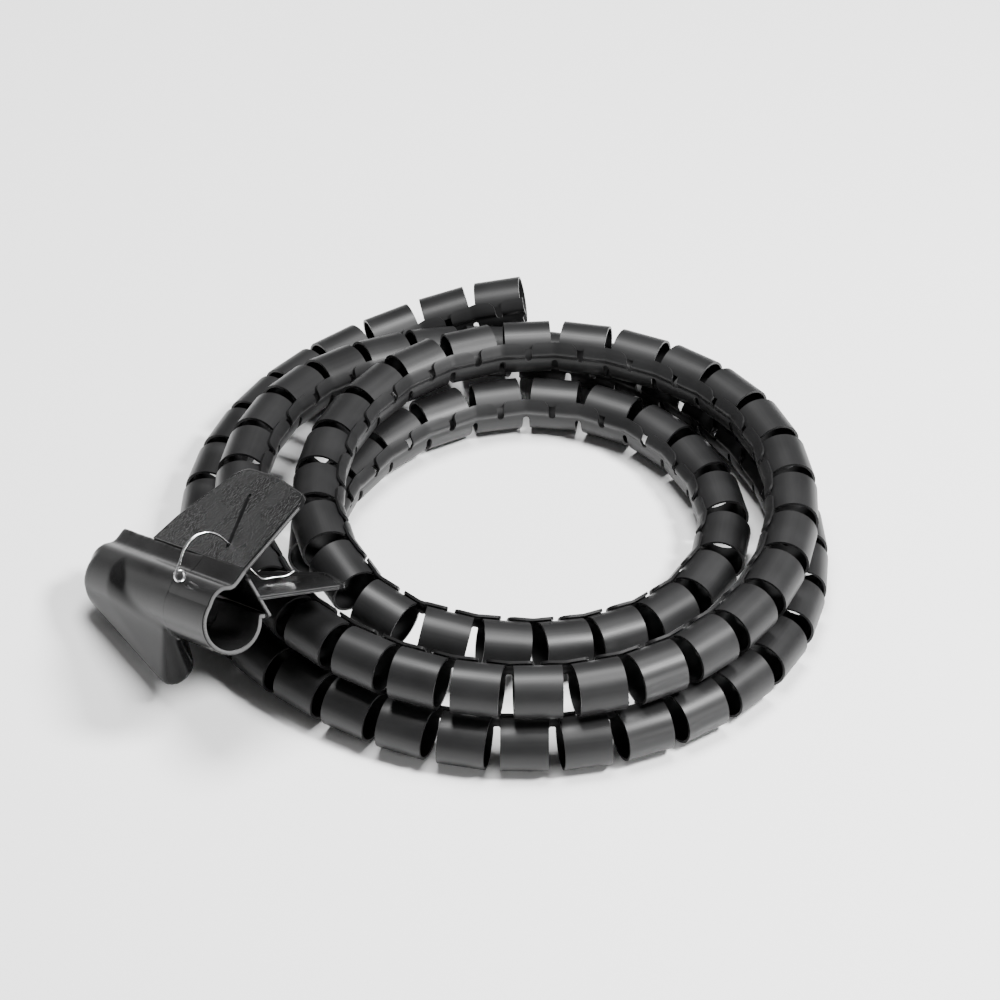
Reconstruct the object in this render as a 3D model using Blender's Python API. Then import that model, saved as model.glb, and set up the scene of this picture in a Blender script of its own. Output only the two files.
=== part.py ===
# A slotted cable sleeve lying in a loose coil, with its loading tool leaning against it.
# The sleeve is one moulded tube, cut into ribs whose tips close under a row of tabs.
# The tool is a clip of three pieces: a clasp with barrel, horn and wing, a jaw with the
# other wing, and the bent wire spring that keeps the jaw shut. Metres, +Z up.
from math import cos, degrees, pi, radians, sin, tan

import bmesh
import bpy
import numpy as np
from mathutils import Matrix, Vector

# Sleeve section: angles rise from the side that faces the middle of the coil
SLEEVE_DIAMETER = 0.025
SLEEVE_WALL = 0.0012
TAB_CLEARANCE = 0.0009
ROOT_ANGLE = 5
TAB_STEP_ANGLE = 22
TAB_TOP_ANGLE = 46
RIB_TIP_ANGLE = -326
RIB_FACET_ANGLE = 45

# Sleeve pattern: its pitch is kept along the spine that joins the ribs under the tabs
RIB_PITCH = 0.026
RIB_WIDTH = 0.0228
TAB_SLOT = 0.0033
TAB_REAR_CORNER = 0.0048
TAB_FRONT_CORNER = 0.003
SLEEVE_START = 0.0055

# Coil, in sleeve diameters: each station's distance outside the mean radius, and its layer
COIL_CENTRE = (0.0263, -0.0028)
COIL_RADIUS = 0.12
FIRST_ANGLE = 85
STATION_STEP = 30
STATIONS = (
    (1.44, 0.74), (1.52, 0.10), (1.32, 0.04), (1.18, 0.05), (1.18, 0.06), (1.06, 0.05),
    (1.20, 0.01), (1.32, 0.01), (1.24, 0.01), (0.84, 0.01), (0.56, 0.01), (0.56, 0.01),
    (0.56, 0.07), (0.47, 0.46), (0.48, 0.80), (0.44, 0.97), (0.54, 0.97), (0.72, 1.06),
    (0.88, 1.06), (0.98, 1.02), (0.84, 1.00), (0.64, 1.04), (0.44, 1.02), (0.08, 0.97),
    (-0.22, 0.92), (-0.56, 0.94), (-0.94, 0.99), (-1.08, 1.07), (-0.90, 1.10), (-0.72, 0.82),
    (-1.00, 0.46), (-1.16, 0.12), (-0.92, 0.01), (-0.68, 0.01), (-0.68, 0.01), (-0.72, 0.01),
    (-0.90, 0.01), (-1.12, 0.01), (-1.22, 0.01), (-1.04, 0.01), (-0.84, 0.02),
)

# Clip section, seen from the near end: x towards the mouth, y towards the hinge
BARREL_RADIUS = 0.0155
CLIP_WALL = 0.0024
BARREL_LENGTH = 0.132
LIP_ANGLE = 25
LIP_RADIUS = 0.0172
SHOULDER_ANGLE = 165
SHOULDER = ((-0.0132, 0.0092), (-0.0102, 0.0136), (-0.006, 0.0154), (-0.0039, 0.0186))
HINGE_CORNER = (-0.0016, 0.0248)
HINGE_AXIS = (0.0007, 0.0218)
BEAD_RADIUS = 0.0015
JAW_ANGLE = -39
JAW_WIDTH = 0.0226
JAW_WALL = 0.0022

# Clip wings, each as an outline of reach out from the root, place behind the near end, and fillet
CLASP_WING = (
    (0.0, 0.0, 0.0), (0.0456, 0.0, 0.005), (0.0504, 0.0385, 0.03), (0.05, 0.0726, 0.005),
    (0.0145, 0.0935, 0.008), (0.0, 0.098, 0.0),
)
JAW_WING = (
    (0.0, 0.0, 0.0), (0.0456, 0.0, 0.005), (0.0504, 0.031, 0.008), (0.0145, 0.062, 0.008),
    (0.0, 0.078, 0.0),
)
CLASP_WING_ANGLE = 64
JAW_WING_ANGLE = 22
JAW_WING_PLACE = 0.0118
SLOT_WIDTH = 0.003
SLOT_START = (0.0082, 0.029)
SLOT_END = (0.036, 0.047)

# Horn: a hood over the barrel's far end that narrows to a round tip on the floor. Its corners are
# a slab of the barrel, the tip, and a small ball where its front edge meets the barrel
HORN_SLAB = (-0.1, -0.1277)
HORN_SLAB_RADIUS = 0.0164
HORN_SLAB_SHIFT = -0.0014
HORN_TIP = (0.0137, -0.0316, -0.064)
HORN_TIP_RADIUS = 0.0095
HORN_BALL = (-0.0065, -0.0128, -0.048)
HORN_BALL_RADIUS = 0.003
HORN_WALL = 0.002
HORN_FRONT = (-0.53, 0.0, 0.85)
HORN_BACK_CUT = 0.001

# Spring: round wire, as places in the clip's section, with how far each lies behind the near end
WIRE_DIAMETER = 0.0012
WIRE_PLACE = 0.0325
WIRE_COIL_RADIUS = 0.0026
WIRE_COIL_CENTRE = (-0.0172, 0.0128)
WIRE_ARC = (
    (-0.0198, 0.0205), (-0.0198, 0.0282), (-0.0166, 0.0352), (-0.0098, 0.0395), (-0.0022, 0.0398),
    (0.0052, 0.0372), (0.0125, 0.0325), (0.0185, 0.0262), (0.0240, 0.0226), (0.0300, 0.0247),
    (0.0362, 0.0272), (0.0392, 0.0302),
)

# Clip's place: the middle of its near end from the coil's mean radius and two layers' top
CLIP_BEARING = 226
CLIP_OUT = 0.0663
CLIP_ABOVE = 0.0246
CLIP_HEADING = -57.6
CLIP_RISE = 27.2
CLIP_ROLL = 54


def clear_scene():
    for item in list(bpy.data.objects):
        bpy.data.objects.remove(item, do_unlink=True)


def plastic(name, colour, roughness, metallic=0.0):
    material = bpy.data.materials.new(name)
    material.use_nodes = True
    shader = material.node_tree.nodes["Principled BSDF"]
    shader.inputs["Base Color"].default_value = (*colour, 1)
    shader.inputs["Roughness"].default_value = roughness
    shader.inputs["Metallic"].default_value = metallic
    return material


def solid(name, points, faces, material=None):
    """A closed mesh object with its faces turned outwards."""
    mesh = bpy.data.meshes.new(name)
    mesh.from_pydata([tuple(p) for p in points], [], faces)
    work = bmesh.new()
    work.from_mesh(mesh)
    bmesh.ops.recalc_face_normals(work, faces=work.faces)
    if work.calc_volume(signed=True) < 0:
        bmesh.ops.reverse_faces(work, faces=work.faces)
    work.to_mesh(mesh)
    work.free()
    item = bpy.data.objects.new(name, mesh)
    bpy.context.scene.collection.objects.link(item)
    if material:
        mesh.materials.append(material)
    return item


def shade_round(item, angle=40):
    item.data.shade_smooth()
    item.data.set_sharp_from_angle(angle=radians(angle))


# Coil route

def through(values, place):
    """The smooth curve through evenly spaced values, at a place counted in steps."""
    last = len(values) - 1
    i = min(int(place), last - 1)
    t = place - i
    start, end = values[i], values[i + 1]
    leave = (end - values[max(i - 1, 0)]) / 2
    arrive = (values[min(i + 2, last)] - start) / 2
    bend = 3 * (end - start) - 2 * leave - arrive
    twist = 2 * (start - end) + leave + arrive
    return start + leave * t + bend * t ** 2 + twist * t ** 3


def coil_points(samples_per_station=15):
    """Points along the sleeve's centreline, from the outer end to the inner one."""
    outside = [station[0] for station in STATIONS]
    layer = [station[1] for station in STATIONS]
    points = []
    for sample in range((len(STATIONS) - 1) * samples_per_station + 1):
        place = sample / samples_per_station
        angle = radians(FIRST_ANGLE + STATION_STEP * place)
        radius = COIL_RADIUS + SLEEVE_DIAMETER * through(outside, place)
        height = SLEEVE_DIAMETER * (0.5 + max(0, through(layer, place)))
        points.append((COIL_CENTRE[0] + radius * cos(angle), COIL_CENTRE[1] + radius * sin(angle), height))
    return np.array(points)


def spine_lengths(points):
    """Length along the spine, which lies on the coil's inner side, up to each route point."""
    along = np.gradient(points, axis=0)
    along /= np.linalg.norm(along, axis=1)[:, None]
    inward = np.cross((0, 0, 1), along)
    inward /= np.linalg.norm(inward, axis=1)[:, None]
    spine_angle = radians((ROOT_ANGLE + TAB_TOP_ANGLE) / 2)
    side = cos(spine_angle) * inward + sin(spine_angle) * np.cross(along, inward)
    spine = points + SLEEVE_DIAMETER / 2 * side
    return np.append(0, np.cumsum(np.linalg.norm(np.diff(spine, axis=0), axis=1)))


def frame_at(route, length):
    """Place, direction, side towards the coil's middle, and upward side at a spine length."""
    points, lengths = route

    def place_at(at):
        return np.array([np.interp(at, lengths, points[:, axis]) for axis in range(3)])

    along = place_at(length + RIB_PITCH / 2) - place_at(length - RIB_PITCH / 2)
    along /= np.linalg.norm(along)
    inward = np.cross((0, 0, 1), along)
    inward /= np.linalg.norm(inward)
    return place_at(length), along, inward, np.cross(along, inward)


# Sleeve

def sleeve_radius(angle):
    """The tabs stand off the ribs by a wall and a clearance, so the rib tips pass under them."""
    if angle >= TAB_STEP_ANGLE:
        return SLEEVE_DIAMETER / 2 + SLEEVE_WALL + TAB_CLEARANCE
    return SLEEVE_DIAMETER / 2


def rib_angles():
    facets = range(-RIB_FACET_ANGLE, RIB_TIP_ANGLE + RIB_FACET_ANGLE // 4, -RIB_FACET_ANGLE)
    return [*facets, RIB_TIP_ANGLE]


class Skin:
    """The sleeve's outer face as points and faces, later closed with the wall's thickness."""

    def __init__(self):
        self.index = {}
        self.outer = []
        self.inner = []
        self.faces = []

    def point(self, frame, rib, along, angle):
        key = (rib, round(along, 6), round(angle, 3))
        if key not in self.index:
            place, direction, inward, upward = frame
            side = cos(radians(angle)) * inward + sin(radians(angle)) * upward
            middle = place + along * direction
            radius = sleeve_radius(angle)
            self.index[key] = len(self.outer)
            self.outer.append(middle + radius * side)
            self.inner.append(middle + (radius - SLEEVE_WALL) * side)
        return self.index[key]

    def closed(self):
        count = len(self.outer)
        edges = set()
        for face in self.faces:
            edges.update(zip(face, face[1:] + face[:1]))
        faces = list(self.faces)
        faces += [[count + corner for corner in reversed(face)] for face in self.faces]
        for start, end in sorted(edges):
            if (end, start) not in edges:
                faces.append([end, start, count + start, count + end])
        return self.outer + self.inner, faces


def add_rib(skin, frame, rib, stub_behind, stub_ahead):
    """One rib with a half tab at each end. A stub is the cut half of a gap's tab."""
    half = RIB_WIDTH / 2
    slot = TAB_SLOT / 2
    stub = (RIB_PITCH - RIB_WIDTH) / 2
    tab_radius = SLEEVE_DIAMETER / 2 + SLEEVE_WALL
    front_angle = TAB_TOP_ANGLE - degrees(TAB_FRONT_CORNER / tab_radius)
    rear_angle = max(TAB_STEP_ANGLE + 2, TAB_TOP_ANGLE - degrees(TAB_REAR_CORNER / tab_radius))

    def at(along, angle):
        return skin.point(frame, rib, along, angle)

    root, step, top = ROOT_ANGLE, TAB_STEP_ANGLE, TAB_TOP_ANGLE
    angles = rib_angles()
    faces = skin.faces
    faces.append([at(-half, root), at(-slot, root), at(slot, root), at(half, root),
                  at(half, angles[0]), at(-half, angles[0])])
    for upper, lower in zip(angles, angles[1:]):
        faces.append([at(-half, upper), at(half, upper), at(half, lower), at(-half, lower)])
    faces.append([at(-half, root), at(-half, step), at(-slot, step), at(-slot, root)])
    faces.append([at(-half, step), at(-half, top), at(-slot - TAB_FRONT_CORNER, top),
                  at(-slot, front_angle), at(-slot, step)])
    faces.append([at(slot, root), at(slot, step), at(half, step), at(half, root)])
    faces.append([at(slot, step), at(slot, rear_angle), at(slot + TAB_REAR_CORNER, top),
                  at(half, top), at(half, step)])
    for cut, edge, wanted in ((-half - stub, -half, stub_behind), (half + stub, half, stub_ahead)):
        for lower, upper in ((root, step), (step, top)):
            if wanted:
                stub_face = [at(cut, lower), at(cut, upper), at(edge, upper), at(edge, lower)]
                faces.append(stub_face if cut < edge else stub_face[::-1])


def bridge_gap(skin, rib):
    """The tab runs on over the gap to the next rib."""
    half = round(RIB_WIDTH / 2, 6)
    for lower, upper in ((ROOT_ANGLE, TAB_STEP_ANGLE), (TAB_STEP_ANGLE, TAB_TOP_ANGLE)):
        corners = ((rib, half, lower), (rib, half, upper), (rib + 1, -half, upper), (rib + 1, -half, lower))
        skin.faces.append([skin.index[key] for key in corners])


def make_sleeve(material):
    points = coil_points()
    route = points, spine_lengths(points)
    count = int((route[1][-1] - SLEEVE_START - RIB_PITCH / 2) / RIB_PITCH)
    skin = Skin()
    for rib in range(count):
        frame = frame_at(route, SLEEVE_START + (rib + 0.5) * RIB_PITCH)
        add_rib(skin, frame, rib, rib == 0, rib == count - 1)
    for rib in range(count - 1):
        bridge_gap(skin, rib)
    sleeve = solid("cable_sleeve", *skin.closed(), material)
    shade_round(sleeve, 50)


# Clip outlines

def turned(direction):
    return Vector((-direction.y, direction.x))


def heading(angle):
    return Vector((cos(radians(angle)), sin(radians(angle))))


def wall_outline(path, thickness):
    """The outline of a wall of even thickness along a path of its middle line."""
    path = [Vector(p) for p in path]
    left, right = [], []
    for i, place in enumerate(path):
        arriving = (place - path[i - 1]).normalized() if i else None
        leaving = (path[i + 1] - place).normalized() if i + 1 < len(path) else None
        first = turned(arriving or leaving)
        second = turned(leaving or arriving)
        mitre = (first + second).normalized()
        offset = mitre * (thickness / 2 / mitre.dot(first))
        left.append(place + offset)
        right.append(place - offset)
    return left + right[::-1]


def filleted(corners, steps=4):
    """A closed outline whose corners, given with a fillet radius, are rounded."""
    outline = []
    for i, (x, y, radius) in enumerate(corners):
        corner = Vector((x, y))
        if not radius:
            outline.append(corner)
            continue
        back = (Vector(corners[i - 1][:2]) - corner).normalized()
        ahead = (Vector(corners[(i + 1) % len(corners)][:2]) - corner).normalized()
        half_angle = back.angle(ahead) / 2
        centre = corner + (back + ahead).normalized() * (radius / sin(half_angle))
        start = corner + back * (radius / tan(half_angle)) - centre
        end = corner + ahead * (radius / tan(half_angle)) - centre
        turn = start.angle_signed(end)
        for step in range(steps + 1):
            outline.append(centre + Matrix.Rotation(-turn * step / steps, 2) @ start)
    return outline


def arc(radius, first, last, step=15):
    count = max(1, round(abs(last - first) / step))
    return [radius * heading(first + (last - first) * i / count) for i in range(count + 1)]


def prism(name, outline, place):
    """A closed solid swept between two ends. place gives a point for an outline point and end."""
    count = len(outline)
    points = [place(p, end) for end in (0, 1) for p in outline]
    faces = [list(range(count))[::-1], list(range(count, 2 * count))]
    for i in range(count):
        after = (i + 1) % count
        faces.append([i, after, count + after, count + i])
    return solid(name, points, faces)


def join(base, other, operation="UNION"):
    """Applies a Boolean with a helper solid, and removes the helper."""
    boolean = base.modifiers.new(other.name, "BOOLEAN")
    boolean.operation = operation
    boolean.solver = "EXACT"
    boolean.object = other
    graph = bpy.context.evaluated_depsgraph_get()
    mesh = bpy.data.meshes.new_from_object(base.evaluated_get(graph))
    base.modifiers.clear()
    base.data = mesh
    bpy.data.objects.remove(other, do_unlink=True)
    return base


# Clip

def barrel_path():
    middle = BARREL_RADIUS - CLIP_WALL / 2
    lip = [LIP_RADIUS * heading(LIP_ANGLE)]
    return lip + arc(middle, LIP_ANGLE, SHOULDER_ANGLE - 360) + [*SHOULDER, HINGE_CORNER]


def along_barrel(section, end):
    return (section.x, section.y, -BARREL_LENGTH * end)


def wing(name, shape, root, angle, sink):
    """A flat wing that leaves its root at an angle. Its root is sunk into the wall it joins."""
    out = heading(angle)
    across = turned(out)
    outline = filleted(shape)
    outline = [Vector((reach if reach > 0 else -sink, behind)) for reach, behind in outline]

    def place(point, end):
        section = root + out * point.x + across * (CLIP_WALL * (end - 0.5))
        return (section.x, section.y, -point.y)

    return prism(name, outline, place)


def wing_slot():
    out = heading(CLASP_WING_ANGLE)
    start, end = Vector(SLOT_START), Vector(SLOT_END)
    along = (end - start).normalized()
    side = turned(along) * SLOT_WIDTH / 2
    outline = [start - side, end - side, end + along * SLOT_WIDTH / 2, end + side,
               start + side, start - along * SLOT_WIDTH / 2]

    def place(point, end_of_cut):
        section = Vector(HINGE_CORNER) + out * point.x + turned(out) * CLIP_WALL * (2 * end_of_cut - 1)
        return (section.x, section.y, -point.y)

    return prism("slot_cutter", outline, place)


def ball(centre, radius, steps=8):
    """Points all over a sphere."""
    points = [Vector(centre) + Vector((0, 0, side * radius)) for side in (-1, 1)]
    for level in range(1, steps):
        tilt = pi * level / steps
        for i in range(2 * steps):
            around = radius * sin(tilt) * heading(180 * i / steps)
            points.append(Vector(centre) + Vector((around.x, around.y, radius * cos(tilt))))
    return points


def hull(name, points):
    """The tight skin around points, as a closed solid."""
    work = bmesh.new()
    for point in points:
        work.verts.new(point)
    found = bmesh.ops.convex_hull(work, input=work.verts)
    loose = {item for item in found["geom_interior"] + found["geom_unused"] if isinstance(item, bmesh.types.BMVert)}
    bmesh.ops.delete(work, geom=list(loose), context="VERTS")
    work.verts.ensure_lookup_table()
    work.verts.index_update()
    places = [vertex.co.copy() for vertex in work.verts]
    faces = [[vertex.index for vertex in face.verts] for face in work.faces]
    work.free()
    return solid(name, places, faces)


def hood(name, thinner):
    """The horn's skin, drawn in by a distance from its outer face."""
    points = ball(HORN_TIP, HORN_TIP_RADIUS - thinner) + ball(HORN_BALL, max(HORN_BALL_RADIUS - thinner, 0.0005))
    for place in HORN_SLAB:
        for rim in arc(HORN_SLAB_RADIUS - thinner, 0, 345):
            points.append(Vector((rim.x + HORN_SLAB_SHIFT, rim.y, place + thinner * (place == HORN_SLAB[1]))))
    return hull(name, points)


def horn():
    """A shell open at its back, where the cables lie along it."""
    shell = hood("horn", 0)
    join(shell, hood("hollow", HORN_WALL), "DIFFERENCE")
    tip = Vector(HORN_TIP)
    axis = (tip - Vector((0, 0, HORN_SLAB[1]))).normalized()
    front = Vector(HORN_FRONT)
    front = (front - front.dot(axis) * axis).normalized()
    side = axis.cross(front)
    reach = BARREL_LENGTH
    corners = [tip + axis * (a * reach) + side * (b * reach) + front * (HORN_BACK_CUT - reach * c)
               for a in (-1, 1) for b in (-1, 1) for c in (0, 1)]
    join(shell, hull("back_cutter", corners), "DIFFERENCE")
    bore = prism("bore_cutter", arc(BARREL_RADIUS - CLIP_WALL / 4, 0, 345),
                 lambda p, end: (p.x, p.y, -2 * BARREL_LENGTH * end))
    join(shell, bore, "DIFFERENCE")
    return shell


def make_clasp(parent, material):
    clasp = prism("clip_clasp", wall_outline(barrel_path(), CLIP_WALL), along_barrel)
    join(clasp, wing("clasp_wing", CLASP_WING, Vector(HINGE_CORNER), CLASP_WING_ANGLE, CLIP_WALL / 4))
    join(clasp, wing_slot(), "DIFFERENCE")
    join(clasp, horn())
    finish_piece(clasp, parent, material)


def make_jaw(parent, material):
    """The jaw is modelled around the hinge axis, where its parent stands."""
    def along(section, end):
        return (section.x, section.y, -BARREL_LENGTH * end)

    jaw = prism("clip_jaw", arc(BEAD_RADIUS, 0, 330, 30), along)
    plate = [Vector((0, 0)), JAW_WIDTH * heading(JAW_ANGLE)]
    join(jaw, prism("plate", wall_outline(plate, JAW_WALL), along))
    root = JAW_WING_PLACE * heading(JAW_ANGLE)
    join(jaw, wing("jaw_wing", JAW_WING, root, JAW_WING_ANGLE, CLIP_WALL / 4))
    finish_piece(jaw, parent, material)


def make_spring(parent, material):
    """Two turns beside the barrel, then the arc over the wing, through its slot, to the jaw."""
    points = []
    for step in range(17):
        angle = radians(180 - 45 * step)
        place = Vector(WIRE_COIL_CENTRE) + WIRE_COIL_RADIUS * Vector((cos(angle), sin(angle)))
        points.append((*place, -WIRE_PLACE - 1.3 * WIRE_DIAMETER * (1 - step / 16)))
    for place in WIRE_ARC:
        points.append((*place, -WIRE_PLACE))
    curve = bpy.data.curves.new("clip_spring", "CURVE")
    curve.dimensions = "3D"
    line = curve.splines.new("POLY")
    line.points.add(len(points) - 1)
    for point, place in zip(line.points, points):
        point.co = (*place, 1)
    curve.bevel_depth = WIRE_DIAMETER / 2
    curve.bevel_resolution = 1
    curve.use_fill_caps = True
    curve.materials.append(material)
    spring = bpy.data.objects.new("clip_spring", curve)
    bpy.context.scene.collection.objects.link(spring)
    spring.parent = parent


def finish_piece(item, parent, material):
    item.data.materials.clear()
    item.data.materials.append(material)
    item.parent = parent
    shade_round(item)


def empty(name, matrix, parent=None):
    item = bpy.data.objects.new(name, None)
    bpy.context.scene.collection.objects.link(item)
    item.parent = parent
    item.matrix_local = matrix
    return item


def make_clip(plastic_material, steel):
    middle = Vector(COIL_CENTRE) + (COIL_RADIUS + CLIP_OUT) * heading(CLIP_BEARING)
    height = 2 * SLEEVE_DIAMETER + CLIP_ABOVE
    lie = (Matrix.Translation((*middle, height)) @ Matrix.Rotation(radians(CLIP_HEADING), 4, "Z")
           @ Matrix.Rotation(radians(90 - CLIP_RISE), 4, "Y") @ Matrix.Rotation(radians(CLIP_ROLL), 4, "Z"))
    clip = empty("clip", lie)
    hinge = empty("jaw_hinge", Matrix.Translation((*HINGE_AXIS, 0)), clip)
    make_clasp(clip, plastic_material)
    make_jaw(hinge, plastic_material)
    make_spring(clip, steel)


def main():
    clear_scene()
    make_sleeve(plastic("matte_polyethylene", (0.04, 0.04, 0.042), 0.5))
    make_clip(plastic("glossy_nylon", (0.02, 0.02, 0.022), 0.25), plastic("spring_steel", (0.7, 0.7, 0.7), 0.2, 1.0))


main()
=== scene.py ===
import bmesh
import bpy
import numpy as np
from math import cos, pi, radians, sin
from mathutils import Matrix, Vector


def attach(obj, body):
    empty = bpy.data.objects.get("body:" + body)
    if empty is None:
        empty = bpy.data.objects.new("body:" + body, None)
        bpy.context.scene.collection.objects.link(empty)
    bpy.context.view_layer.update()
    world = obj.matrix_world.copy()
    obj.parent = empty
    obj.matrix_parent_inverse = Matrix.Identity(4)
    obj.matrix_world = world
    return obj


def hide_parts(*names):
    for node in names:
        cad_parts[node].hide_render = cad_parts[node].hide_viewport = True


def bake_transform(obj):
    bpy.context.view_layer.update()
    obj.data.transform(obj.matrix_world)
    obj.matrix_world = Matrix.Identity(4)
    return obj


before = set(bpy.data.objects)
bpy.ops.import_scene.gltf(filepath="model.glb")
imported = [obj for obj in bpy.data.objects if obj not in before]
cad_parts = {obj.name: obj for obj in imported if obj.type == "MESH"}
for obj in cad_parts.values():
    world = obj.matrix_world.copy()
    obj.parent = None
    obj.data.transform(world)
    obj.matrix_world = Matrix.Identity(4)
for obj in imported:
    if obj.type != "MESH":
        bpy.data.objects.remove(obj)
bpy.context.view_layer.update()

print("frame loaded:", ", ".join(sorted(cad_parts)))


# A node socket that adds Math nodes when it is used in an expression
class Value:
    def __init__(self, recipe, socket):
        self.recipe, self.socket = recipe, socket

    def do(self, operation, first, second):
        return self.recipe.node("Math", {"operation": operation}, {0: first, 1: second})

    def __add__(self, other):
        return self.do("ADD", self, other)

    def __radd__(self, other):
        return self.do("ADD", other, self)

    def __sub__(self, other):
        return self.do("SUBTRACT", self, other)

    def __rsub__(self, other):
        return self.do("SUBTRACT", other, self)

    def __mul__(self, other):
        return self.do("MULTIPLY", self, other)

    def __rmul__(self, other):
        return self.do("MULTIPLY", other, self)


# One material with its shader, and a way to add any node to it
class Recipe:
    def __init__(self, name):
        self.material = bpy.data.materials.new(name)
        self.material.use_nodes = True
        self.tree = self.material.node_tree
        self.shader = self.tree.nodes["Principled BSDF"]

    def node(self, kind, settings, inputs, output=0):
        made = self.tree.nodes.new("ShaderNode" + kind)
        for key, value in settings.items():
            if key == "stops":
                for place, shade in value:
                    stop = made.color_ramp.elements.new(place)
                    stop.color = (shade, shade, shade, 1)
                made.color_ramp.elements.remove(made.color_ramp.elements[-1])
                made.color_ramp.elements.remove(made.color_ramp.elements[0])
            else:
                setattr(made, key, value)
        for key, value in inputs.items():
            self.feed(made.inputs[key], value)
        return Value(self, made.outputs[output])

    def feed(self, socket, value):
        if isinstance(value, Value):
            self.tree.links.new(value.socket, socket)
        else:
            socket.default_value = value

    def noise(self, place, scale, detail=2.0, roughness=0.5):
        inputs = {"Vector": place, "Scale": scale, "Detail": detail, "Roughness": roughness}
        return self.node("TexNoise", {}, inputs)

    def ramp(self, value, low, high, first=0.0, last=1.0):
        settings = {"clamp": True}
        return self.node("MapRange", settings, {0: value, 1: low, 2: high, 3: first, 4: last})

    def shades(self, factor, dark, light):
        inputs = {"Factor": factor, 6: (*dark, 1), 7: (*light, 1)}
        return self.node("Mix", {"data_type": "RGBA"}, inputs, 2)

    def bump(self, height, distance, strength=1.0, under=None):
        inputs = {"Height": height, "Distance": distance, "Strength": strength}
        if under is not None:
            inputs["Normal"] = under
        return self.node("Bump", {}, inputs)

    def finish(self, **sockets):
        for name, value in sockets.items():
            self.feed(self.shader.inputs[name.replace("_", " ")], value)
        return self.material


def placed(name, data):
    item = bpy.data.objects.new(name, data)
    bpy.context.scene.collection.objects.link(item)
    return item


# Camera: it looks along +Y at the coil, from the elevation given in degrees
cameraValues = {
    "target": (0.0208, 0.0355, 0.0), "elevation": 41.0, "distance": 3.0, "lens": 219.2,
    "sensor": 36, "clipEnd": 20,
}


def makeCamera():
    values = cameraValues
    lens = bpy.data.cameras.new("camera")
    lens.lens = values["lens"]
    lens.sensor_width = values["sensor"]
    lens.clip_end = values["clipEnd"]
    camera = placed("camera", lens)
    tilt = radians(values["elevation"])
    back = Vector((0, -cos(tilt), sin(tilt)))
    camera.location = Vector(values["target"]) + back * values["distance"]
    camera.rotation_euler = back.to_track_quat("Z", "Y").to_euler()
    bpy.context.scene.camera = camera


makeCamera()


# Studio: a flat white floor, a main lamp on the right, a wide one overhead and a small low one
# that the tool's near edges mirror. Each lamp is a name, place, target, size and power
studioValues = {
    "floorTone": 0.9, "floorGloss": 0.16, "floorReach": 6.0, "world": 0.14,
    "lights": (
        ("main", (1.0, -0.35, 1.4), (0.0, 0.0, 0.0), 0.4, 72.0),
        ("top", (0.0, 0.2, 1.6), (0.0, 0.0, 0.0), 0.8, 52.0),
        ("edge", (1.06, -0.89, 0.28), (-0.1, -0.12, 0.08), 0.3, 10.0),
    ),
}


def makeStudio():
    values = studioValues
    floor = bpy.data.meshes.new("floor")
    reach = values["floorReach"]
    corners = [(-reach, -reach, 0), (reach, -reach, 0), (reach, reach, 0), (-reach, reach, 0)]
    floor.from_pydata(corners, [], [(0, 1, 2, 3)])
    paper = Recipe("whiteFloor")
    tone = values["floorTone"]
    floor.materials.append(paper.finish(Base_Color=(tone, tone, tone, 1), Roughness=values["floorGloss"]))
    ground = placed("floor", floor)
    world = bpy.data.worlds.new("studio")
    world.use_nodes = True
    sky = world.node_tree.nodes["Background"].inputs
    sky["Color"].default_value = (1, 1, 1, 1)
    sky["Strength"].default_value = values["world"]
    bpy.context.scene.world = world
    for name, place, target, size, power in values["lights"]:
        lamp = bpy.data.lights.new(name, "AREA")
        lamp.shape = "DISK"
        lamp.size = size
        lamp.energy = power
        light = placed(name, lamp)
        light.visible_camera = False
        light.location = place
        light.rotation_euler = (Vector(place) - Vector(target)).to_track_quat("Z", "Y").to_euler()


makeStudio()
print("camera and studio ready")


# The coil: stations every 30 degrees, as (distance outside the mean radius, layer) in sleeve diameters
coilValues = {
    "diameter": 0.025, "centre": (0.0263, -0.0028), "radius": 0.12, "firstAngle": 85, "step": 30,
    "stations": (
        (1.44, 0.74), (1.52, 0.10), (1.32, 0.04), (1.18, 0.05), (1.18, 0.06), (1.06, 0.05),
        (1.20, 0.01), (1.32, 0.01), (1.24, 0.01), (0.84, 0.01), (0.56, 0.01), (0.56, 0.01),
        (0.56, 0.07), (0.47, 0.46), (0.48, 0.80), (0.44, 0.97), (0.54, 0.97), (0.72, 1.06),
        (0.88, 1.06), (0.98, 1.02), (0.84, 1.00), (0.64, 1.04), (0.44, 1.02), (0.08, 0.97),
        (-0.22, 0.92), (-0.56, 0.94), (-0.94, 0.99), (-1.08, 1.07), (-0.90, 1.10), (-0.72, 0.82),
        (-1.00, 0.46), (-1.16, 0.12), (-0.92, 0.01), (-0.68, 0.01), (-0.68, 0.01), (-0.72, 0.01),
        (-0.90, 0.01), (-1.12, 0.01), (-1.22, 0.01), (-1.04, 0.01), (-0.84, 0.02),
    ),
}
sleeveValues = {
    "wall": 0.0012, "tabStep": 0.0021, "pitch": 0.026, "ribWidth": 0.0228, "slot": 0.0033,
    "rearCorner": 0.0048, "frontCorner": 0.003, "start": 0.0055, "spineAngle": 25.5,
    "root": 5.0, "tabTop": 46.0, "tabRise": (9.0, 23.0), "ribTip": -326.0, "tipCorner": 0.003,
    "rowStep": 11.0, "middleShare": 0.6, "edge": 0.00022, "edgeAngle": 50, "merge": 1e-5,
}
quarter = np.radians([0, 30, 60, 90])  # a quarter circle in three steps


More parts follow.
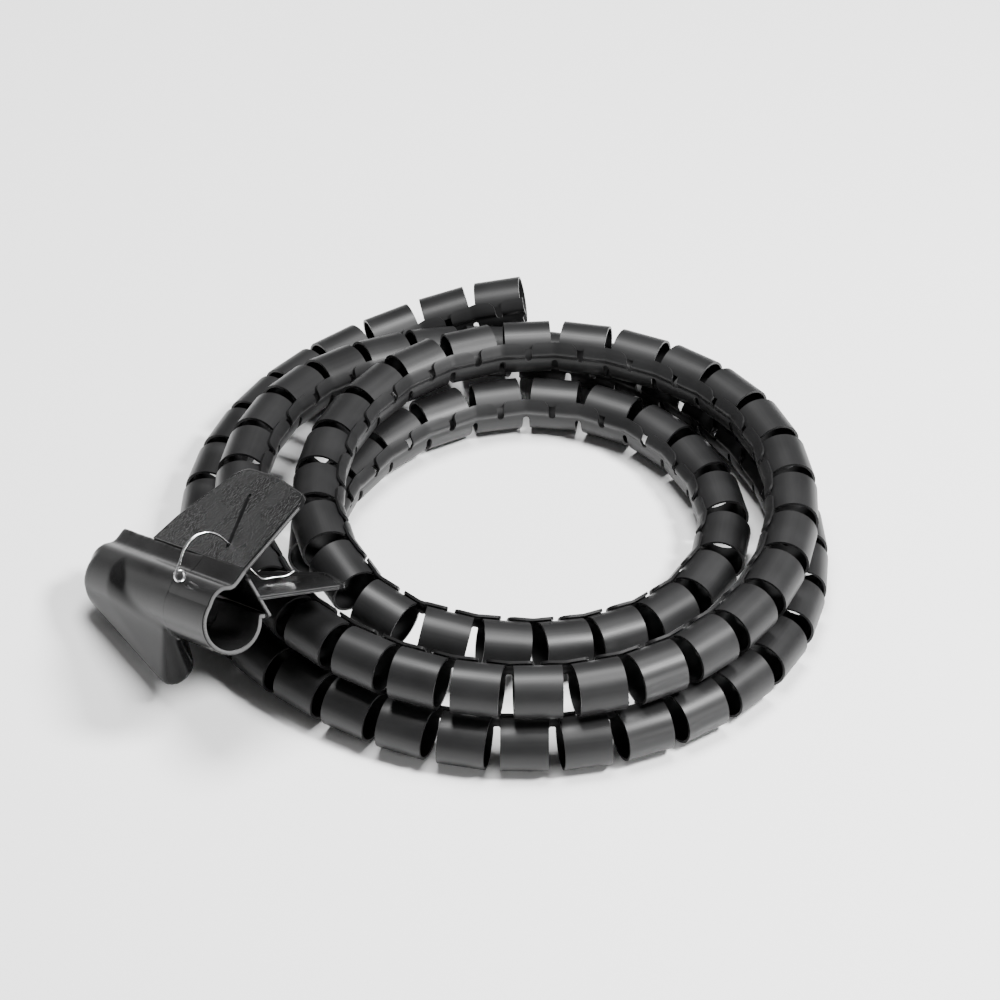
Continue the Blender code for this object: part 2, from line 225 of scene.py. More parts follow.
# Smooth curve through even stations: each span is a cubic whose end slopes are half the step
# between the neighbours on either side
def through(values, place):
    last = len(values) - 1
    i = np.clip(place.astype(int), 0, last - 1)
    t = place - i
    start, end = values[i], values[i + 1]
    leave = (end - values[np.maximum(i - 1, 0)]) / 2
    arrive = (values[np.minimum(i + 2, last)] - start) / 2
    bend = 3 * (end - start) - 2 * leave - arrive
    twist = 2 * (start - end) + leave + arrive
    return start + leave * t + bend * t ** 2 + twist * t ** 3


def unit(vectors):
    return vectors / np.linalg.norm(vectors, axis=-1, keepdims=True)


# Centreline points: a circle whose radius and height follow the stations, lifted by one sleeve
# radius so that a layer of nought lies on the floor
def coilPoints(samples=15):
    values = coilValues
    stations = np.array(values["stations"])
    place = np.arange((len(stations) - 1) * samples + 1) / samples
    angle = np.radians(values["firstAngle"] + values["step"] * place)
    radius = values["radius"] + values["diameter"] * through(stations[:, 0], place)
    height = values["diameter"] * (0.5 + np.maximum(0, through(stations[:, 1], place)))
    x = values["centre"][0] + radius * np.cos(angle)
    y = values["centre"][1] + radius * np.sin(angle)
    return np.column_stack([x, y, height])


# The two directions square to the way along: level towards the coil's middle, and upwards
def sides(along):
    inward = unit(np.cross((0, 0, 1), along))
    return inward, np.cross(along, inward)


# Length along the spine, the line at one sleeve radius on the side that faces the coil's middle
def spineLengths(points):
    along = unit(np.gradient(points, axis=0))
    inward, upward = sides(along)
    angle = radians(sleeveValues["spineAngle"])
    spine = points + coilValues["diameter"] / 2 * (cos(angle) * inward + sin(angle) * upward)
    return np.append(0, np.cumsum(np.linalg.norm(np.diff(spine, axis=0), axis=1)))


# One module of the pattern, as a flat table of (along, angle, radius) and its faces: a rib from
# its tip round to the root, widening by a quarter circle into the tabs, which end at a slot
# with a round bottom and rounded corners
def sleeveModule():
    v = sleeveValues
    radius = coilValues["diameter"] / 2
    tall = radius + v["tabStep"]
    half, reach, slot = v["ribWidth"] / 2, v["pitch"] / 2, v["slot"] / 2
    gap = reach - half
    inner = v["middleShare"]
    rootRows = v["root"] - np.degrees(gap / radius) * (1 - np.sin(quarter))
    rootEdge = half + gap * (1 - np.cos(quarter))
    rootMiddle = half * (inner + (1 - inner) * (1 - np.cos(quarter)))
    tipRows = v["ribTip"] + np.degrees(v["tipCorner"] / radius) * (1 - np.sin(quarter))
    tipEdge = half - v["tipCorner"] * (1 - np.cos(quarter))
    count = int((rootRows[0] - tipRows[0]) / v["rowStep"])
    plain = np.linspace(tipRows[0], rootRows[0], count + 1)[1:-1]
    angle = np.concatenate([tipRows[::-1], plain, rootRows])
    edge = np.concatenate([tipEdge[::-1], np.full(len(plain), half), rootEdge])
    middle = np.concatenate([np.full(len(tipRows) + len(plain), inner * half), rootMiddle])
    ribAlong = np.stack([-edge, -middle, 0 * edge, middle, edge], axis=1)
    ribAngle = np.repeat(angle[:, None], 5, axis=1)
    bottom = np.radians([0, 35, 65, 90])
    slotRows = v["root"] + np.degrees(slot / radius) * (1 - np.cos(bottom))
    rearStart = v["tabTop"] - np.degrees(v["rearCorner"] / tall)
    arcs = np.sin(np.radians([0, 17, 34, 50, 66, 79, 90]))
    upper = rearStart + (v["tabTop"] - rearStart) * arcs
    between = np.linspace(slotRows[-1], rearStart, 5)[1:-1]
    tabAngle = np.concatenate([slotRows, between, upper])

    def slotEdge(corner):
        low = np.clip(1 - (tabAngle - v["root"]) / np.degrees(slot / radius), 0, 1)
        high = np.clip(1 - (v["tabTop"] - tabAngle) / np.degrees(corner / tall), 0, 1)
        return slot * np.sqrt(1 - low ** 2) + corner * (1 - np.sqrt(1 - high ** 2))

    tabRows = len(tabAngle)
    farSide, ribSide = np.full(tabRows, reach), np.full(tabRows, half)
    behind = np.stack([-farSide, -ribSide, -slotEdge(v["frontCorner"])], axis=1)
    ahead = np.stack([slotEdge(v["rearCorner"]), ribSide, farSide], axis=1)
    tabAngles = np.repeat(tabAngle[:, None], 3, axis=1)

    def gridFaces(rows, columns, first):
        corner = first + (np.arange(rows - 1)[:, None] * columns + np.arange(columns - 1)).ravel()
        return np.stack([corner, corner + columns, corner + columns + 1, corner + 1], axis=1)

    ribCount = ribAlong.size
    tabCount = behind.size
    faces = np.concatenate([
        gridFaces(len(angle), 5, 0), gridFaces(tabRows, 3, ribCount),
        gridFaces(tabRows, 3, ribCount + tabCount),
    ])
    along = np.concatenate([ribAlong.ravel(), behind.ravel(), ahead.ravel()])
    angles = np.concatenate([ribAngle.ravel(), tabAngles.ravel(), tabAngles.ravel()])
    low, high = v["tabRise"]
    rise = np.clip((angles - low) / (high - low), 0, 1)
    radii = radius + v["tabStep"] * rise ** 2 * (3 - 2 * rise)
    return along, np.radians(angles), radii, faces


# Every module carried into the frame of its rib. Past the rib's edge a point turns by a smooth
# share into the neighbour's frame, so both meet halfway over the gap
def sleeveSurface():
    v = sleeveValues
    points = coilPoints()
    lengths = spineLengths(points)
    count = int((lengths[-1] - v["start"] - v["pitch"] / 2) / v["pitch"])
    middles = v["start"] + (np.arange(count) + 0.5) * v["pitch"]

    def placeAt(at):
        return np.column_stack([np.interp(at, lengths, points[:, axis]) for axis in range(3)])

    places = placeAt(middles)
    directions = unit(placeAt(middles + v["pitch"] / 2) - placeAt(middles - v["pitch"] / 2))
    inward, upward = sides(directions)
    along, angle, radius, faces = sleeveModule()

    def carried(rib, away):
        side = np.cos(angle)[None, :, None] * inward[rib][:, None]
        side = side + np.sin(angle)[None, :, None] * upward[rib][:, None]
        spot = places[rib][:, None] + away[None, :, None] * directions[rib][:, None]
        return spot + radius[None, :, None] * side

    own = np.arange(count)
    half = v["ribWidth"] / 2
    past = np.clip((np.abs(along) - half) / (v["pitch"] / 2 - half), 0, 1) / 2
    rigid = carried(own, along)
    surface = rigid.copy()
    for step in (-1, 1):
        near = np.clip(own + step, 0, count - 1)
        other = carried(near, along - step * v["pitch"])
        share = np.where(step * along > 0, past, 0)[None, :, None] * (near != own)[:, None, None]
        surface += share * (other - rigid)
    size = len(along)
    allFaces = (faces[None] + (own * size)[:, None, None]).reshape(-1, 4)
    arc = np.tile(angle * coilValues["diameter"] / 2, count)
    length = (middles[:, None] + along[None]).ravel()
    return surface.reshape(-1, 3), allFaces, np.column_stack([length, arc])


def meshPiece(name, points, faces, uv=None):
    mesh = bpy.data.meshes.new(name)
    mesh.from_pydata(points, [], faces.tolist() if hasattr(faces, "tolist") else faces)
    if uv is not None:
        layer = mesh.uv_layers.new(name="surface")
        corners = np.empty(len(mesh.loops), np.int32)
        mesh.loops.foreach_get("vertex_index", corners)
        layer.data.foreach_set("uv", uv[corners].astype(np.float32).ravel())
    return placed(name, mesh)


# Points closer than the distance become one, points without a face go, and faces turn outward
def mergeAndTurnOut(mesh, distance=1e-7):
    work = bmesh.new()
    work.from_mesh(mesh)
    bmesh.ops.remove_doubles(work, verts=work.verts, dist=distance)
    loose = [point for point in work.verts if not point.link_faces]
    bmesh.ops.delete(work, geom=loose, context="VERTS")
    bmesh.ops.recalc_face_normals(work, faces=work.faces)
    work.to_mesh(mesh)
    work.free()


def bevelled(piece, width, segments=2, angle=35):
    bevel = piece.modifiers.new("edges", "BEVEL")
    bevel.width = width
    bevel.segments = segments
    bevel.limit_method = "ANGLE"
    bevel.angle_limit = radians(angle)
    bevel.harden_normals = True
    bevel.use_clamp_overlap = True


def makeSleeve():
    v = sleeveValues
    points, faces, uv = sleeveSurface()
    sleeve = meshPiece("cableSleeve", points, faces, uv)
    work = bmesh.new()
    work.from_mesh(sleeve.data)
    bmesh.ops.remove_doubles(work, verts=work.verts, dist=v["merge"])
    work.to_mesh(sleeve.data)
    work.free()
    sleeve.data.shade_smooth()
    thick = sleeve.modifiers.new("wall", "SOLIDIFY")
    thick.thickness = v["wall"]
    thick.offset = -1
    thick.use_even_offset = True
    bevelled(sleeve, v["edge"], 1, v["edgeAngle"])
    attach(sleeve, "wrap")
    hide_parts("cable_sleeve")
    route = coilPoints(3)
    return sleeve


sleeve = makeSleeve()
print("sleeve made:", len(sleeve.data.polygons), "faces before its wall")


# Matte plastic: soft clouds of tone, and fine streaks along the sleeve
def sleeveMaterial():
    recipe = Recipe("mattePolyethylene")
    place = recipe.node("TexCoord", {}, {}, 3)
    cloud = recipe.noise(place, 38.0, 3.0)
    grain = recipe.noise(place, 900.0, 2.0)
    uv = recipe.node("UVMap", {"uv_map": "surface"}, {})
    drawn = recipe.node("Mapping", {}, {"Vector": uv, "Scale": (12.0, 900.0, 1.0)})
    streak = recipe.noise(drawn, 1.0, 2.0)
    dark, light = (0.008, 0.008, 0.0082), (0.013, 0.013, 0.0133)
    colour = recipe.shades(recipe.ramp(cloud, 0.3, 0.7), dark, light)
    roughness = recipe.ramp(cloud * 0.5 + streak * 0.5, 0.3, 0.7, 0.36, 0.46)
    height = streak * 0.5 + grain * 0.5
    return recipe.finish(Base_Color=colour, Roughness=roughness, Specular_IOR_Level=0.3,
                         Normal=recipe.bump(height, 0.00004, 0.5))


sleeve.data.materials.append(sleeveMaterial())


# Smoother plastic, with a coarse grain where the "grained" attribute is 1
def clipMaterial():
    recipe = Recipe("mouldedNylon")
    place = recipe.node("TexCoord", {}, {}, 3)
    grained = recipe.node("Attribute", {"attribute_name": "grained"}, {}, 2)
    cloud = recipe.noise(place, 60.0, 3.0)
    fine = recipe.noise(place, 1400.0, 2.0)
    coarse = recipe.ramp(recipe.noise(place, 820.0, 1.0), 0.5, 0.66)
    dark, light = (0.006, 0.006, 0.0061), (0.0095, 0.0095, 0.0097)
    colour = recipe.shades(recipe.ramp(cloud, 0.3, 0.7), dark, light)
    roughness = recipe.ramp(cloud, 0.3, 0.7, 0.17, 0.22) + grained * 0.08
    smooth = recipe.bump(fine, 0.000006, 0.3)
    return recipe.finish(Base_Color=colour, Roughness=roughness, Specular_IOR_Level=0.13,
                         Normal=recipe.bump(coarse * grained, 0.00012, 0.7, smooth))


def steelMaterial():
    recipe = Recipe("springSteel")
    place = recipe.node("TexCoord", {}, {}, 3)
    cloud = recipe.noise(place, 400.0, 2.0)
    colour = recipe.shades(cloud, (0.62, 0.62, 0.63), (0.78, 0.78, 0.79))
    roughness = recipe.ramp(cloud, 0.3, 0.7, 0.16, 0.28)
    return recipe.finish(Base_Color=colour, Metallic=1.0, Roughness=roughness)


clipPlastic = clipMaterial()
steel = steelMaterial()


# Clip: everything is worked out in its own section, x towards the mouth, y towards the hinge and
# z out of its near end, and then carried to where it leans on the coil
clipValues = {
    "bearing": 226, "out": 0.0663, "height": 0.0746, "heading": -57.6, "rise": 27.2, "roll": 54,
    "radius": 0.0155, "wall": 0.0024, "length": 0.132, "lipAngle": 25, "lipRadius": 0.0172,
    "shoulderAngle": 165, "corner": (-0.0016, 0.0248), "hinge": (0.0007, 0.0218),
    "shoulder": ((-0.0132, 0.0092), (-0.0102, 0.0136), (-0.006, 0.0154), (-0.0039, 0.0186)),
    "bead": 0.0015, "jawAngle": -39, "jawWidth": 0.0226, "jawWall": 0.0022, "edge": 0.0004,
}


def clipMatrix():
    v = clipValues
    turn = radians(v["bearing"])
    reach = coilValues["radius"] + v["out"]
    centre = coilValues["centre"]
    place = (centre[0] + reach * cos(turn), centre[1] + reach * sin(turn), v["height"])
    lie = Matrix.Translation(place) @ Matrix.Rotation(radians(v["heading"]), 4, "Z")
    lie = lie @ Matrix.Rotation(radians(90 - v["rise"]), 4, "Y")
    return np.array(lie @ Matrix.Rotation(radians(v["roll"]), 4, "Z"))


clipLie = clipMatrix()


def inPlace(points):
    return np.asarray(points) @ clipLie[:3, :3].T + clipLie[:3, 3]


# Unit vectors at angles given in degrees
def aim(degrees):
    angle = np.radians(degrees)
    return np.stack([np.cos(angle), np.sin(angle)], axis=-1)


circle = aim(np.arange(0, 360, 5))


# Outlines of (x, y), each carried to its own z
def stacked(outlines, heights):
    rows = [np.column_stack([outline, np.full(len(outline), z)]) for outline, z in zip(outlines, heights)]
    return np.concatenate(rows)


# Faces between closed rings of points, one ring after another
def stripFaces(rows, columns):
    r, c = np.meshgrid(np.arange(rows - 1), np.arange(columns), indexing="ij")
    a, b = r * columns + c, r * columns + (c + 1) % columns
    return np.stack([a, b, b + columns, a + columns], axis=-1).reshape(-1, 4).tolist()


# The first and last ring closed by one face each
def endFaces(rows, columns):
    first = np.arange(columns)
    return [first[::-1].tolist(), (first + (rows - 1) * columns).tolist()]


# Puts the mesh that its modifiers make in place of the piece's own
def settled(piece):
    graph = bpy.context.evaluated_depsgraph_get()
    mesh = bpy.data.meshes.new_from_object(piece.evaluated_get(graph))
    piece.modifiers.clear()
    piece.data = mesh
    return mesh


# A wall of even thickness: the path's points moved half a wall to both sides and drawn out in z.
# Where the near end is rounded, the wall thins there by a quarter circle
def wallPiece(name, path, thickness, near, far, edge=0.0):
    path = np.asarray(path)
    along = unit(np.gradient(path, axis=0))
    normal = np.column_stack([-along[:, 1], along[:, 0]])
    turns = quarter if edge else quarter[-1:]
    rings = []
    for inset in edge * (1 - np.sin(turns)):
        half = thickness / 2 - inset
        drawn = path.copy()
        drawn[0] += along[0] * inset
        drawn[-1] -= along[-1] * inset
        rings.append(np.concatenate([drawn + normal * half, (drawn - normal * half)[::-1]]))
    rings.append(rings[-1])
    heights = np.append(near - edge * (1 - np.cos(turns)), far)
    count = len(rings[0])
    i = np.arange(count // 2 - 1)
    cap = np.stack([i, count - 1 - i, count - 2 - i, i + 1], axis=1)
    farCap = cap[:, ::-1] + (len(rings) - 1) * count
    faces = stripFaces(len(rings), count) + cap.tolist() + farCap.tolist()
    piece = meshPiece(name, inPlace(stacked(rings, heights)), faces)
    mergeAndTurnOut(piece.data)
    return piece


# A closed outline with each corner of (x, y, radius) rounded by an arc
def roundedOutline(corners, steps=10):
    outline = []
    for i, (x, y, radius) in enumerate(corners):
        corner = np.array([x, y])
        if not radius:
            outline.append(corner)
            continue
        back = unit(np.array(corners[i - 1][:2]) - corner)
        ahead = unit(np.array(corners[(i + 1) % len(corners)][:2]) - corner)
        half = np.arccos(np.clip(back @ ahead, -1, 1)) / 2
        centre = corner + unit(back + ahead) * radius / np.sin(half)
        start = corner + back * radius / np.tan(half)
        end = corner + ahead * radius / np.tan(half)
        share = np.linspace(0, 1, steps + 1)[:, None]
        between = (start - centre) * (1 - share) + (end - centre) * share
        outline.extend(centre + radius * unit(between))
    return np.array(outline)


# A wing: its outline drawn in by an inset at each height of the edge's profile, with flat faces.
# A corner moves along the middle of its two sides' normals, by the inset over that line's cosine
def wingPiece(name, outline, profile, root, angle):
    ahead = unit(np.roll(outline, -1, axis=0) - outline)
    normal = np.column_stack([-ahead[:, 1], ahead[:, 0]])
    inner = unit(normal + np.roll(normal, 1, axis=0))
    inner /= np.maximum(0.5, np.einsum("ij,ij->i", inner, normal))[:, None]
    out = aim(angle)
    across = np.array([-out[1], out[0]])
    rows = []
    for inset, height in profile:
        flat = outline + inner * inset
        section = np.asarray(root) + flat[:, :1] * out + height * across
        rows.append(np.column_stack([section, -flat[:, 1]]))
    count = len(outline)
    faces = stripFaces(len(profile), count) + endFaces(len(profile), count)
    piece = meshPiece(name, inPlace(np.concatenate(rows)), faces)
    mergeAndTurnOut(piece.data)
    return piece


# A straight prism used to cut the wing's slot: half circles round the slot's ends, drawn in depth
def slotCutter(name, root, angle):
    w = wingValues
    start, end = np.array(w["slotStart"]), np.array(w["slotEnd"])
    along = unit(end - start)
    turn = np.degrees(np.arctan2(along[1], along[0]))
    halfTurn = np.arange(-90, 91, 30)
    ahead = end + w["slotWidth"] / 2 * aim(turn + halfTurn)
    behind = start + w["slotWidth"] / 2 * aim(turn + (180 + halfTurn))
    profile = [(0, -w["slotDepth"]), (0, w["slotDepth"])]
    return wingPiece(name, np.concatenate([ahead, behind]), profile, root, angle)


# Takes the other piece's volume out of the base, and the other piece goes
def cutFrom(base, other):
    cut = base.modifiers.new("cut", "BOOLEAN")
    cut.operation = "DIFFERENCE"
    cut.solver = "EXACT"
    cut.object = other
    settled(base)
    bpy.data.objects.remove(other, do_unlink=True)


# The smallest convex skin round all the points
def hullPiece(name, points):
    piece = meshPiece(name, inPlace(points), [])
    work = bmesh.new()
    work.from_mesh(piece.data)
    found = bmesh.ops.convex_hull(work, input=work.verts)
    spare = found["geom_interior"] + found["geom_unused"]
    inside = {item for item in spare if isinstance(item, bmesh.types.BMVert)}
    bmesh.ops.delete(work, geom=list(inside), context="VERTS")
    bmesh.ops.recalc_face_normals(work, faces=work.faces)
    work.to_mesh(piece.data)
    work.free()
    return piece


# Points over a sphere, from its latitudes and longitudes
def ballPoints(centre, radius, steps):
    turns = np.linspace(0, 2 * pi, 2 * steps, endpoint=False)
    tilt, turn = np.meshgrid(np.linspace(0, pi, steps + 1), turns)
    flat = np.sin(tilt)
    around = np.stack([flat * np.cos(turn), flat * np.sin(turn), np.cos(tilt)], axis=-1)
    return np.asarray(centre) + radius * around.reshape(-1, 3)


hornValues = {
    "slab": (-0.1, -0.1277), "slabRadius": 0.0164, "slabShift": -0.0014,
    "tip": (0.0137, -0.0316, -0.064), "tipRadius": 0.0095, "tipSteps": 18,
    "ball": (-0.0065, -0.0128, -0.048), "ballRadius": 0.003, "ballLeast": 0.0005, "ballSteps": 10,
    "wall": 0.002, "front": (-0.53, 0.0, 0.85), "backCut": 0.001,
    "grid": 0.0008, "passes": 22, "seam": 0.042, "overlap": 0.001, "fade": 0.016,
}


# The hood's skin is the tight hull round a slab of the barrel, the tip's ball and a small ball
def hoodSkin(name, thinner):
    v = hornValues
    rim = (v["slabRadius"] - thinner) * circle + (v["slabShift"], 0)
    near, far = v["slab"]
    return hullPiece(name, np.concatenate([
        ballPoints(v["tip"], v["tipRadius"] - thinner, v["tipSteps"]),
        ballPoints(v["ball"], max(v["ballRadius"] - thinner, v["ballLeast"]), v["ballSteps"]),
        stacked([rim, rim], (near, far + thinner)),
    ]))


# The hood is its skin less a thinner one, less all that lies behind a plane through the tip's
# axis, and less the barrel's bore
def makeHood():
    v = hornValues
    hood = hoodSkin("hood", 0)
    cutFrom(hood, hoodSkin("hollow", v["wall"]))
    tip = np.array(v["tip"])
    axis = unit(tip - (0, 0, v["slab"][1]))
    front = np.array(v["front"])
    front = unit(front - front @ axis * axis)
    side = np.cross(axis, front)
    reach = clipValues["length"]
    corners = [tip + axis * a * reach + side * b * reach + front * (v["backCut"] - reach * c)
               for a in (-1, 1) for b in (-1, 1) for c in (0, 1)]
    cutFrom(hood, hullPiece("backCut", np.array(corners)))
    bore = (clipValues["radius"] - clipValues["wall"] / 4) * circle
    cutFrom(hood, hullPiece("bore", stacked([bore, bore], (0.0, -2 * reach))))
    return hood


# One even skin over the pieces together. Each pass then moves a point halfway to the mean of its
# neighbours, by a share that grows from none where the crisp near part of the barrel takes over
def blended(pieces):
    v = hornValues
    piece = joined("shell", pieces)
    skin = piece.modifiers.new("skin", "REMESH")
    skin.mode = "VOXEL"
    skin.voxel_size = v["grid"]
    mesh = settled(piece)
    count = len(mesh.vertices)
    points, ends = np.empty(count * 3), np.empty(len(mesh.edges) * 2, np.int32)
    mesh.vertices.foreach_get("co", points)
    mesh.edges.foreach_get("vertices", ends)
    points = points.reshape(-1, 3)
    ends = ends.reshape(-1, 2)
    first, second = np.concatenate([ends, ends[:, ::-1]]).T
    depth = -((points - clipLie[:3, 3]) @ clipLie[:3, 2])
    share = 0.5 * np.clip((depth - v["seam"]) / v["fade"], 0, 1)[:, None]
    shared = np.bincount(first, minlength=count)[:, None]
    for _ in range(v["passes"]):
        sums = [np.bincount(first, points[second, axis], count) for axis in range(3)]
        points = points + share * (np.column_stack(sums) / shared - points)
    mesh.vertices.foreach_set("co", points.astype(np.float32).ravel())
    mergeAndTurnOut(mesh, 1e-6)  # a lone voxel has shrunk to a point by now, and goes
    return piece


# The barrel's middle line in section: the lip, the round of the barrel, and the shoulder that
# runs up to the hinge
def barrelPath():
    v = clipValues
    middle = v["radius"] - v["wall"] / 2
    lip = v["lipRadius"] * aim(v["lipAngle"])[None]
    turn = middle * aim(np.arange(v["lipAngle"], v["shoulderAngle"] - 360 - 1, -4))
    turns = np.concatenate([turn, middle * aim(v["shoulderAngle"] - 360)[None]])
    guide = np.array([turns[-2], turns[-1], *v["shoulder"], v["corner"]])
    place = np.linspace(1, len(guide) - 1, 31)
    shoulder = np.column_stack([through(guide[:, axis], place) for axis in range(2)])
    return np.concatenate([lip, turns, shoulder[1:]])


# Several pieces as one object, each with its own closed skin
def joined(name, pieces):
    work = bmesh.new()
    for piece in pieces:
        work.from_mesh(piece.data)
        bpy.data.objects.remove(piece, do_unlink=True)
    mesh = bpy.data.meshes.new(name)
    work.to_mesh(mesh)
    work.free()
    return placed(name, mesh)


def softened(piece, width):
    bevelled(piece, width)
    piece.data.shade_smooth()
    settled(piece)


# Smooth shading in which a large flat face keeps its own direction up to its small bevels
def keptFlat(piece, sharpAngle=38, weight=100):
    piece.data.shade_smooth()
    piece.data.set_sharp_from_angle(angle=radians(sharpAngle))
    flat = piece.modifiers.new("flatFaces", "WEIGHTED_NORMAL")
    flat.weight = weight
    flat.keep_sharp = True
    return piece


# Outlines hold (out, along, corner radius), and edge profiles (inset, height)
wingValues = {
    "clasp": ((0.0, 0.0, 0.0), (0.0456, 0.0, 0.008), (0.0504, 0.0385, 0.03), (0.05, 0.0726, 0.017),
              (0.0145, 0.0935, 0.008), (0.0, 0.098, 0.0)),
    "jaw": ((0.0, 0.0, 0.0), (0.0456, 0.0, 0.005), (0.0504, 0.031, 0.008), (0.0145, 0.062, 0.008),
            (0.0, 0.078, 0.0)),
    "claspAngle": 64, "jawAngle": 22, "jawPlace": 0.0118,
    "slotStart": (0.0082, 0.029), "slotEnd": (0.036, 0.047), "slotWidth": 0.003, "slotDepth": 0.004,
    "marks": ((0.012, 0.016), (0.03, 0.022)), "markRadius": 0.0019, "markReach": 0.00022,
    "markSunk": 0.0001, "markRise": 0.00026, "markSteps": 36, "markRows": 5,
    "grainFacing": 0.97, "grainFrom": 0.004, "grainAbove": 0.0006,
    "claspEdge": (
        (0.0009, -0.0012), (0.0001, -0.00108), (0.0, -0.0009), (0.0, -0.0005),
        (0.00022, -0.00042), (0.00022, -0.0003), (0.0, -0.00022), (0.0, 0.00022),
        (0.00022, 0.0003), (0.00022, 0.00042), (0.0, 0.0005), (0.0, 0.0009),
        (0.0001, 0.00108), (0.0004, 0.0012), (0.0007, 0.00105), (0.001, 0.0012)),
    "jawEdge": (
        (0.0009, -0.0012), (0.0001, -0.00108), (0.0, -0.0009), (0.0, -0.0004),
        (0.0002, -0.0003), (0.0002, -0.0001), (0.0, 0.0), (0.0, 0.0009), (0.0001, 0.00108),
        (0.0004, 0.0012), (0.0016, 0.0012), (0.0018, 0.00112), (0.0021, 0.0004), (0.0023, 0.0003)),
}


# "grained" is 1 on the corners of the wing's upper face, the one flat face that is textured. The
# jaw has no such face, and is given no angle
def markFace(piece, root, angle=None):
    w = wingValues
    mesh = piece.data
    count = len(mesh.polygons)
    normals, centres = np.empty(count * 3), np.empty(count * 3)
    corners = np.empty(count, np.int32)
    mesh.polygons.foreach_get("normal", normals)
    mesh.polygons.foreach_get("center", centres)
    mesh.polygons.foreach_get("loop_total", corners)
    grained = np.zeros(count)
    if angle is not None:
        out = aim(angle)
        across = np.array([-out[1], out[0], 0])
        faces = normals.reshape(-1, 3) @ clipLie[:3, :3] @ across > w["grainFacing"]
        local = (centres.reshape(-1, 3) - clipLie[:3, 3]) @ clipLie[:3, :3]
        away = (local[:, :2] - root) @ out
        level = (local[:, :2] - root) @ across[:2]
        grained = (faces & (away > w["grainFrom"]) & (level > w["grainAbove"])).astype(float)
    layer = mesh.attributes.new("grained", "FLOAT", "CORNER")
    layer.data.foreach_set("value", np.repeat(grained, corners).astype(np.float32))


# A pin's mark: a low ridge, half a wave high, carried round a circle on the wing's upper face
def pinMark(name, place, root, angle):
    w = wingValues
    turns = np.arange(w["markSteps"]) * 2 * pi / w["markSteps"]
    turn, step = np.meshgrid(turns, np.linspace(-1, 1, w["markRows"]), indexing="ij")
    reach = w["markRadius"] + w["markReach"] * step
    out = aim(angle)
    across = np.array([-out[1], out[0]])
    outward, sideways = place[0] + reach * np.cos(turn), place[1] + reach * np.sin(turn)
    height = w["jawEdge"][-1][1] - w["markSunk"] + w["markRise"] * np.cos(step * pi / 2)
    section = np.asarray(root) + outward[..., None] * out + height[..., None] * across
    points = np.concatenate([section, -sideways[..., None]], axis=-1)
    closed = np.concatenate([points, points[:1]])
    faces = stripFaces(len(closed), w["markRows"])
    ridge = meshPiece(name, inPlace(closed.reshape(-1, 3)), faces)
    mergeAndTurnOut(ridge.data, 1e-6)
    return ridge


# A wing's outline with its root drawn back into the wall it grows from
def rooted(corners):
    outline = roundedOutline(corners)
    outline[outline[:, 0] <= 0, 0] = -clipValues["wall"] / 4
    return outline


# The near barrel is crisp. The rest of it is blended with the hood, and overlaps it a little
def makeClasp():
    v, w = clipValues, wingValues
    seam, path = hornValues["seam"], barrelPath()
    barrel = wallPiece("barrel", path, v["wall"], 0.0, -seam, v["edge"])
    deeper = wallPiece("deeper", path, v["wall"], hornValues["overlap"] - seam, -v["length"])
    wing = wingPiece("wing", rooted(w["clasp"]), w["claspEdge"], v["corner"], w["claspAngle"])
    cutFrom(wing, slotCutter("slot", v["corner"], w["claspAngle"]))
    clasp = keptFlat(joined("clipClasp", [barrel, wing, blended([deeper, makeHood()])]))
    markFace(clasp, v["corner"], w["claspAngle"])
    return clasp


# The plate that shuts the mouth, the bead that it turns on, and the lower wing with its marks
def makeJaw():
    v, w = clipValues, wingValues
    hinge = np.array(v["hinge"])
    ends = (0.0, -v["length"])
    path = hinge + np.linspace(0, 1, 6)[:, None] * v["jawWidth"] * aim(v["jawAngle"])
    plate = wallPiece("plate", path, v["jawWall"], *ends)
    softened(plate, v["edge"])
    rim = hinge + v["bead"] * circle[::3]
    bead = hullPiece("bead", stacked([rim, rim], ends))
    root = hinge + w["jawPlace"] * aim(v["jawAngle"])
    wing = wingPiece("wing", rooted(w["jaw"]), w["jawEdge"], root, w["jawAngle"])
    marks = [pinMark("pinMark", place, root, w["jawAngle"]) for place in w["marks"]]
    jaw = keptFlat(joined("clipJaw", [plate, bead, wing, *marks]))
    markFace(jaw, root)
    return jaw


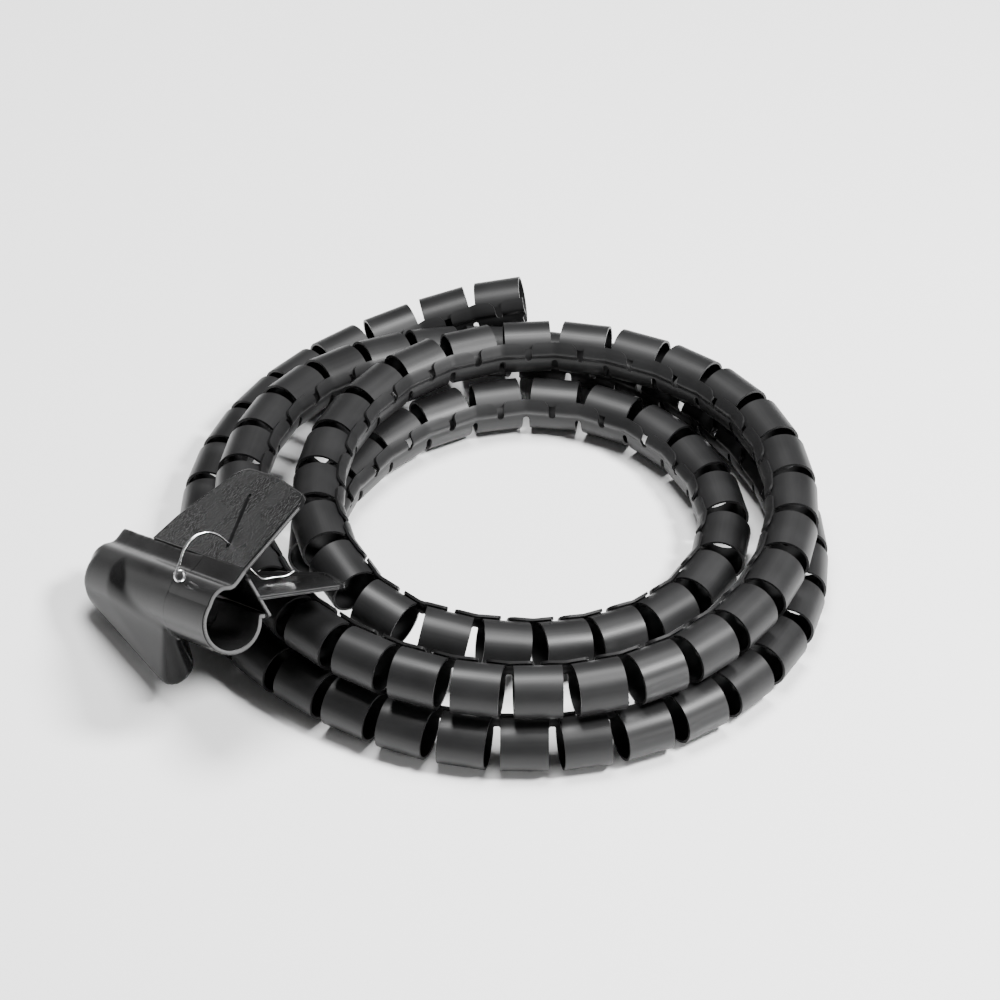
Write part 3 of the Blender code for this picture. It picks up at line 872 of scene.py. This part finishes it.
springValues = {
    "wire": 0.0012, "sides": 12, "place": 0.0305, "coilRadius": 0.0026, "coilCentre": (-0.0172, 0.0128),
    "turns": 2, "coilSteps": 72, "coilLead": 1.3, "armSteps": 12, "sharpAngle": 50,
    "arc": ((-0.0198, 0.0195), (-0.0194, 0.0262), (-0.0166, 0.0322), (-0.0112, 0.0358),
            (-0.0048, 0.0362), (0.0026, 0.0334), (0.0096, 0.0294), (0.0168, 0.0254),
            (0.0240, 0.0226), (0.0300, 0.0247), (0.0362, 0.0272), (0.0392, 0.0302)),
    "flex": (5, 9),
}


# Round wire: a circle carried along the path, square to it. The path winds the loop, and then
# runs smoothly through the arc's places
def makeSpring():
    v = springValues
    share = np.linspace(0, 1, v["coilSteps"] + 1)
    turn = 180 - 360 * v["turns"] * share
    coil = np.array(v["coilCentre"]) + v["coilRadius"] * aim(turn)
    coil = np.column_stack([coil, -v["place"] - v["coilLead"] * v["wire"] * (1 - share)])
    guide = np.array([coil[-8, :2], coil[-1, :2], *v["arc"]])
    steps = np.linspace(1, len(guide) - 1, v["armSteps"] * (len(guide) - 2) + 1)[1:]
    arm = np.column_stack([through(guide[:, axis], steps) for axis in range(2)])
    path = inPlace(np.concatenate([coil, stacked([arm], [-v["place"]])]))
    along = unit(np.gradient(path, axis=0))
    first = unit(np.cross(along, clipLie[:3, 2]))
    second = np.cross(along, first)
    angle = np.linspace(0, 2 * pi, v["sides"], endpoint=False)[None, :, None]
    ring = np.cos(angle) * first[:, None] + np.sin(angle) * second[:, None]
    points = (path[:, None] + v["wire"] / 2 * ring).reshape(-1, 3)
    faces = stripFaces(len(path), v["sides"]) + endFaces(len(path), v["sides"])
    spring = meshPiece("clipSpring", points, faces)
    mergeAndTurnOut(spring.data)
    spring.data.shade_smooth()
    spring.data.set_sharp_from_angle(angle=radians(v["sharpAngle"]))
    return spring


clasp, jaw, spring = makeClasp(), makeJaw(), makeSpring()
for piece, material, body, node, slot in (
    (clasp, clipPlastic, "wrap", "clip_clasp", "clip"),
    (jaw, clipPlastic, "jaw", "clip_jaw", "clip"),
    (spring, steel, "wrap", "clip_spring", "spring"),
):
    piece.data.materials.clear()
    piece.data.materials.append(material)
    if piece is not spring:
        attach(piece, body)
    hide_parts(node)
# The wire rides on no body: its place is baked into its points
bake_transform(spring)
print("clip made:", len(clasp.data.polygons), len(jaw.data.polygons), len(spring.data.polygons), "faces")
